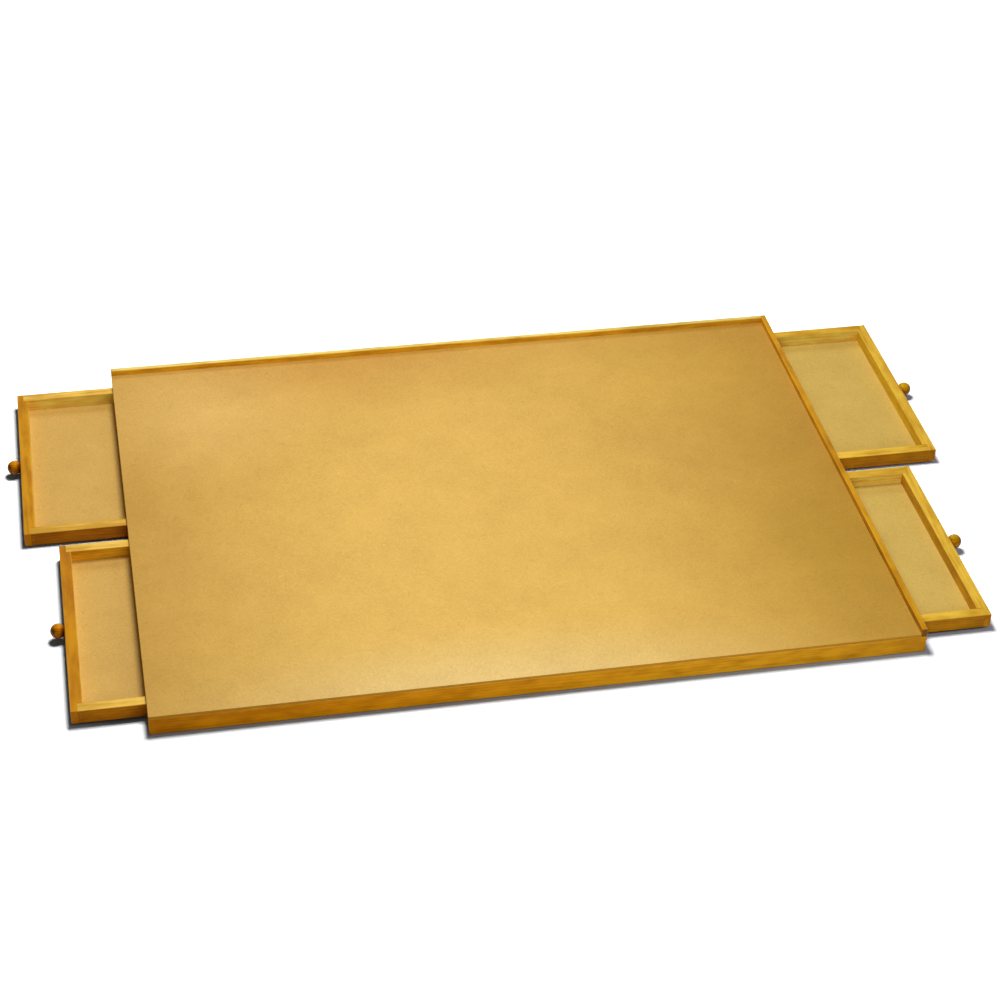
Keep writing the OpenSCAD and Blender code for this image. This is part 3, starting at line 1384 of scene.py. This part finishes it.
@dataclass
class Drawer:
    """One of the four trays: four boards, a floor, a knob and its brads.

    Sizes are in millimetres. Places are given from the corner of the drawer's front that
    lies next to the case's middle: X into the case, Y away from the middle, Z up.
    """

    name: str
    side: Side
    end: End
    seed: int
    floor: PressedBoard
    steel: ZincSteel
    filler: WoodFiller
    # Tones for level, upright and inward faces: the upright tone paints shade, the inward one
    # paints light.
    face_tones: tuple[Stain, Stain, Stain]
    side_tones: tuple[Stain, Stain, Stain]
    side_soaks: Pair
    # The knob's level tone paints its highlight on top and its upright tone the shade on its sides
    # and underside; its soak darkens the end grain at the outer pole, set deep on the left knobs as
    # painted shade on their unlit side.
    knob_tones: tuple[Stain, Stain]
    knob_soak: float
    width: float = 263.5
    knob_y: float = 131.75
    knob_z: float = 9.4
    ball_d: float = 15.6
    ball_flat: float = 0.9
    tenon_d: float = 6.0
    tenon_l: float = 8.0
    brad_d: float = 1.3
    corner_brad_l: float = 24.0
    floor_brad_l: float = 10.0
    brad_sink: float = 0.6
    corner_brad_xs: Pair = (9.5, 375.5)
    corner_brad_zs: Pair = (6.8, 11.3)
    floor_step_x: Pair = (9.5, 372.0)
    floor_step_y: Pair = (9.5, 254.0)
    brads_a_side: int = 4
    brad_sides: int = 16
    knob_sides: int = 56
    ball_steps: int = 40
    tenon_shoulder: float = 0.01
    tenon_chamfer: float = 0.5
    knob_billet_l: float = 200.0
    # The sides darken over their last 34 mm at both ends; near the case this paints the shade that
    # falls there.
    side_end_reach: float = 34.0
    side_end_soak: float = 0.4
    own_face_end_depth: float = -0.45

    def at(self, x: float, y: float, z: float) -> Triple:
        """Turns a place in the drawer into one in the case.

        Args:
            x: Distance into the case from the front of the face, in millimetres.
            y: Distance from the drawer's inner side, away from the case's middle.
            z: Height over the drawer's underside.

        Returns:
            The place in the case's frame, in metres.
        """
        low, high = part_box(f"{self.name}_face")
        inner = high if self.end is End.FRONT else low
        outer = high if self.side is Side.RIGHT else low
        return (
            outer.x - self.side.value * x * MM,
            inner.y + self.end.value * y * MM,
            low.z + z * MM,
        )

    def add_piece(self, piece: bpy.types.Object, node: str) -> str:
        """Lets a piece ride on the drawer in place of a CAD node.

        Args:
            piece: The piece.
            node: The last part of the CAD node's name.

        Returns:
            The piece's name.
        """
        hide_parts(f"{self.name}_{node}")
        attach(piece, f"{self.name}_drawer")
        return piece.name

    def build(self) -> list[str]:
        """Makes the knob and the brads, and gives their names."""
        return [self.build_knob(), *self.build_corner_brads(), self.build_floor_brads()]

    def build_knob(self) -> str:
        """Turns the ball knob: a ball cut flat where it sits on the face, and its tenon.

        Returns:
            The piece's name.
        """
        ball_r, tenon_r = self.ball_d / 2, self.tenon_d / 2
        out = self.ball_d - self.ball_flat
        seat = math.degrees(math.acos(1 - self.ball_flat / ball_r))
        steps = self.ball_steps
        end = out + self.tenon_l
        # Distance from the ball's outer pole, and radius there.
        profile = [
            (ball_r - ball_r * math.cos(a), ball_r * math.sin(a))
            for a in (math.radians((180 - seat) * i / steps) for i in range(steps + 1))
        ]
        profile += [
            (out + self.tenon_shoulder, tenon_r),
            (end - self.tenon_chamfer, tenon_r),
            (end, tenon_r - self.tenon_chamfer),
            (end, 0.0),
        ]
        # Painted highlight and shade: the ball's level faces take the paler tone and its upright
        # faces the deeper one; the soak darkens the end grain at the outer pole, deep on the left
        # knobs to paint their unlit side.
        wood = TurnedWood(
            f"turned_stained_wood_{self.name}_knob",
            *self.knob_tones,
            Grain.ALONG_X,
            tuple(v / MM for v in self.at(-out / 2, self.knob_y, self.knob_z)),
            self.knob_billet_l,
            self.seed + 4,
            end_depth=self.knob_soak,
        )
        knob = grow(
            f"{self.name}_ball_knob",
            Shapes.turned(),
            [self.at(s - out, self.knob_y, self.knob_z) for s, _ in profile],
            {"Sides": self.knob_sides, "Finish": wood.material()},
            [r * MM for _, r in profile],
        )
        return self.add_piece(knob, "knob")

    def build_corner_brads(self) -> list[str]:
        """Drives the brads through the sides, set a little deep and filled over.

        Returns:
            The pieces' names.
        """
        made = []
        length = self.corner_brad_l - self.brad_sink
        for label, material, slot, size, middle in (
            ("corner_brads", self.steel, "steel", length, self.brad_sink + length / 2),
            ("brad_filler", self.filler, "stained_wood", self.brad_sink, self.brad_sink / 2),
        ):
            places = [
                self.at(x, y, z)
                for x in self.corner_brad_xs
                for z in self.corner_brad_zs
                for y in (middle, self.width - middle)
            ]
            brads = grow(
                f"{self.name}_set_{label}",
                Shapes.pins(),
                places,
                {
                    "Diameter": self.brad_d * MM,
                    "Length": size * MM,
                    "Lean": (math.pi / 2, 0.0, 0.0),
                    "Sides": self.brad_sides,
                    "Finish": material.material(),
                },
            )
            made.append(self.add_piece(brads, "corner_brads"))
        return made

    def build_floor_brads(self) -> str:
        """Drives the brads up through the edges of the floor.

        Returns:
            The piece's name.
        """
        (x0, x1), (y0, y1), count = self.floor_step_x, self.floor_step_y, self.brads_a_side
        shares = [(i + 0.5) / count for i in range(count)]
        flat = [(x0 + (x1 - x0) * s, y) for s in shares for y in (y0, y1)]
        flat += [(x, y0 + (y1 - y0) * s) for s in shares for x in (x0, x1)]
        brads = grow(
            f"{self.name}_set_floor_brads",
            Shapes.pins(),
            [self.at(x, y, self.floor_brad_l / 2) for x, y in flat],
            {
                "Diameter": self.brad_d * MM,
                "Length": self.floor_brad_l * MM,
                "Lean": (0.0, 0.0, 0.0),
                "Sides": self.brad_sides,
                "Finish": self.steel.material(),
            },
        )
        return self.add_piece(brads, "floor_brads")

    def dress(self) -> list[str]:
        """Puts the finishes on the drawer's boards and floor.

        Returns:
            The names of the CAD nodes dressed.
        """
        # A face with a stain of its own drank less of it on its sawn ends.
        own_stain = self.face_tones[0] is not self.side_tones[0]
        face = {"end_depth": self.own_face_end_depth} if own_stain else {}
        ends = {"end_reach": self.side_end_reach, "end_soak": self.side_end_soak}
        outer, inner = ({**ends, "level_soak": soak} for soak in self.side_soaks)
        into_case = (-float(self.side.value), 0.0, 0.0)
        away = (0.0, float(self.end.value), 0.0)
        boards = (
            ("face", self.face_tones, Grain.ALONG_Y, into_case, face),
            ("back", self.side_tones, Grain.ALONG_Y, tuple(-v for v in into_case), {}),
            ("outer_side", self.side_tones, Grain.ALONG_X, tuple(-v for v in away), outer),
            ("inner_side", self.side_tones, Grain.ALONG_X, away, inner),
        )
        for order, (part, tones, grain, inward, traits) in enumerate(boards):
            board(f"{self.name}_{part}", tones, grain, self.seed + order, inward=inward, **traits)
        self.floor.dress(f"{self.name}_floor")
        return [f"{self.name}_{part}" for part in (*(row[0] for row in boards), "floor")]


# ---- Studio ----


@dataclass(frozen=True)
class Softbox:
    """Square studio lamp that the camera doesn't see.

    Places are in metres, its power in watts and its colour linear.
    """

    name: str
    at: Triple
    to: Triple
    size: float
    power: float
    colour: Triple
    for_floor: bool = False

    def build(self, floor: bpy.types.Object) -> None:
        """Hangs the lamp, flagged so that it lights either the floor or all the rest.

        Args:
            floor: The studio's floor.
        """
        lamp = bpy.data.lights.new(self.name, "AREA")
        lamp.shape, lamp.size = "SQUARE", self.size
        lamp.energy, lamp.color = self.power, self.colour
        holder = bpy.data.objects.new(self.name, lamp)
        holder.location = self.at
        aim = Vector(self.at) - Vector(self.to)
        holder.rotation_euler = aim.to_track_quat("Z", "Y").to_euler()
        holder.visible_camera = False
        bpy.context.scene.collection.objects.link(holder)
        flag = bpy.data.collections.new(f"{self.name}_flag")
        flag.objects.link(floor)
        holder.light_linking.receiver_collection = flag
        flag.collection_objects[0].light_linking.link_state = (
            "INCLUDE" if self.for_floor else "EXCLUDE"
        )


@dataclass
class Studio:
    """Plain white floor, soft light from above and behind, and the camera.

    Places are in metres, the camera's turn in degrees and its lens in millimetres, for a
    sensor as wide as given. The world's colour is linear, as light is.
    """

    camera_at: Triple = (-0.41917, -2.00864, 1.55433)
    camera_turn: Triple = (53.1289, -1.532, -10.8779)
    lens: float = 84.7287
    sensor: float = 36.0
    clip: Pair = (0.05, 100.0)
    floor_size: float = 40.0
    floor_drop: float = 0.05 * MM
    world_colour: Colour = (0.12, 0.105, 0.085, 1.0)
    lamps: tuple[Softbox, ...] = (
        Softbox("back", (0.15, 2.1, 1.6), (0.0, 0.0, 0.0), 0.8, 16.5, (1.0, 0.97, 0.84)),
        Softbox("overhead", (-0.1, 0.3, 1.35), (-0.1, 0.1, 0.0), 0.5, 11.5, (1.0, 0.93, 0.78)),
        Softbox("front", (0.18, -0.92, 0.42), (0.14, -0.3, 0.0), 0.36, 2.5, (0.95, 1.0, 1.0)),
        Softbox("front_high", (-0.1, -0.6, 0.9), (-0.05, -0.2, 0.0), 0.4, 1.9, (0.92, 1.0, 1.0)),
        Softbox(
            "floor_key", (-0.05, 0.2, 1.3), (0.0, 0.0, 0.0), 0.5, 64.0, (1.63, 1.2, 0.94), True
        ),
        Softbox("floor_fill", (1.5, -0.7, 0.9), (0.45, 0.0, 0.0), 0.6, 8.0, (1.5, 1.0, 0.9), True),
    )

    def build(self) -> None:
        """Makes the floor, the lamps, the world and the camera."""
        floor = self.make_floor()
        self.make_world()
        for lamp in self.lamps:
            lamp.build(floor)
        camera = bpy.data.cameras.new("camera")
        camera.lens = self.lens
        camera.sensor_width = self.sensor
        camera.clip_start, camera.clip_end = self.clip
        holder = bpy.data.objects.new("camera", camera)
        holder.location = self.camera_at
        holder.rotation_euler = Euler([math.radians(a) for a in self.camera_turn], "XYZ")
        bpy.context.scene.collection.objects.link(holder)
        bpy.context.scene.camera = holder
        bpy.context.scene.view_settings.view_transform = "Standard"

    def make_floor(self) -> bpy.types.Object:
        """Makes the white floor just under the case.

        Returns:
            The floor.
        """
        half = self.floor_size / 2
        mesh = bpy.data.meshes.new("floor")
        corners = [(-half, -half), (half, -half), (half, half), (-half, half)]
        mesh.from_pydata([(x, y, -self.floor_drop) for x, y in corners], [], [(0, 1, 2, 3)])
        mesh.materials.append(WhiteSweep("matt_white_studio_paper").material())
        floor = bpy.data.objects.new("floor", mesh)
        bpy.context.scene.collection.objects.link(floor)
        return floor

    def make_world(self) -> None:
        """Makes the soft light from all round, which the camera sees as white."""
        world = bpy.data.worlds.new("studio")
        world.use_nodes = True
        tree = world.node_tree
        tree.nodes.clear()
        path = add(tree, "ShaderNodeLightPath")
        soft = add(tree, "ShaderNodeBackground", {"Color": self.world_colour, "Strength": 1.0})
        white = add(tree, "ShaderNodeBackground", {"Color": (1, 1, 1, 1), "Strength": 1.0})
        both = add(
            tree,
            "ShaderNodeMixShader",
            {0: path.outputs["Is Camera Ray"], 1: soft.outputs[0], 2: white.outputs[0]},
        )
        add(tree, "ShaderNodeOutputWorld", {"Surface": both.outputs[0]})
        bpy.context.scene.world = world


def main() -> None:
    """Builds and dresses the case and the studio, and reports each piece."""
    logging.basicConfig(level=logging.INFO, format="%(name)s: %(message)s")
    surface = PressedBoard(
        "pressed_fibreboard_surface",
        "#DEB45A",
        "#A57E31",
        "#EDD693",
        "#CA8E20",
        # Painted shade toward the sheet's sides.
        painted_shade_tone="#DCCFB0",
        # Painted sheen at the back left corner and along the front edge, painted shade along the
        # back and at the right, painted light at the back right.
        painted_light_ovals=(
            PaintedLightOval(-330.0, 225.0, 200.0, 190.0, (1.23, 1.33, 1.98)),
            PaintedLightOval(-110.0, 290.0, 300.0, 140.0, (0.89, 0.79, 0.66)),
            PaintedLightOval(-60.0, -310.0, 430.0, 110.0, (1.03, 1.16, 2.02)),
            PaintedLightOval(390.0, -130.0, 230.0, 300.0, (0.95, 0.96, 0.71)),
            PaintedLightOval(300.0, 200.0, 260.0, 160.0, (1.12, 1.16, 1.13)),
        ),
    )
    trays = {
        Side.LEFT: PressedBoard(
            "pressed_fibreboard_left_trays", "#D8AF5E", "#A07632", "#EDD08E", "#A07632", seed=2
        ),
        Side.RIGHT: PressedBoard(
            "pressed_fibreboard_right_trays", "#DCBC65", "#A37F36", "#F0DB98", "#A37F36", seed=2
        ),
    }
    hardboard = PressedBoard(
        "tempered_hardboard", "#8C6234", "#5E3D1C", "#A67C4A", "#5A3A1A", seed=3
    )
    steel = ZincSteel("zinc_plated_steel")
    filler = WoodFiller("wood_filler")
    case = WorkCase(surface, hardboard, steel)
    # Each drawer's upright tones paint shade, its third tones paint light inside, and its knob
    # tones paint a highlight and shade on the ball.
    looks = {
        (Side.LEFT, End.BACK): {
            "seed": 41,
            "face_tones": (Stain.AMBER, Stain.TOFFEE, Stain.CREAM),
            "side_tones": (Stain.WHEAT, Stain.TOBACCO, Stain.CREAM),
            "side_soaks": (-0.1, 0.45),
            "knob_tones": (Stain.ORANGE, Stain.RUSSET),
            "knob_soak": 0.95,
        },
        (Side.LEFT, End.FRONT): {
            "seed": 53,
            "face_tones": (Stain.UMBER, Stain.TOFFEE, Stain.CREAM),
            "side_tones": (Stain.WHEAT, Stain.TOFFEE, Stain.APRICOT),
            "side_soaks": (0.15, -0.3),
            "knob_tones": (Stain.ORANGE, Stain.RUSSET),
            "knob_soak": 0.95,
        },
        (Side.RIGHT, End.BACK): {
            "seed": 67,
            "face_tones": (Stain.STRAW, Stain.CARAMEL, Stain.OCHRE),
            "side_tones": (Stain.STRAW, Stain.UMBER, Stain.CREAM),
            "side_soaks": (0.35, -0.2),
            "knob_tones": (Stain.OCHRE, Stain.WALNUT),
            "knob_soak": 0.35,
        },
        (Side.RIGHT, End.FRONT): {
            "seed": 79,
            "face_tones": (Stain.STRAW, Stain.CARAMEL, Stain.CHESTNUT),
            "side_tones": (Stain.STRAW, Stain.UMBER, Stain.CREAM),
            "side_soaks": (-0.1, 0.15),
            "knob_tones": (Stain.OCHRE, Stain.WALNUT),
            "knob_soak": 0.35,
        },
    }
    drawers = [
        Drawer(
            name=f"{end.name}_{side.name}".lower(),
            side=side,
            end=end,
            floor=trays[side],
            steel=steel,
            filler=filler,
            **look,
        )
        for (side, end), look in looks.items()
    ]
    for part in (case, *drawers):
        for piece in (*part.build(), *part.dress()):
            log.info("%s: %s", part.name, piece)
    Studio().build()


if __name__ == "__main__":
    main()
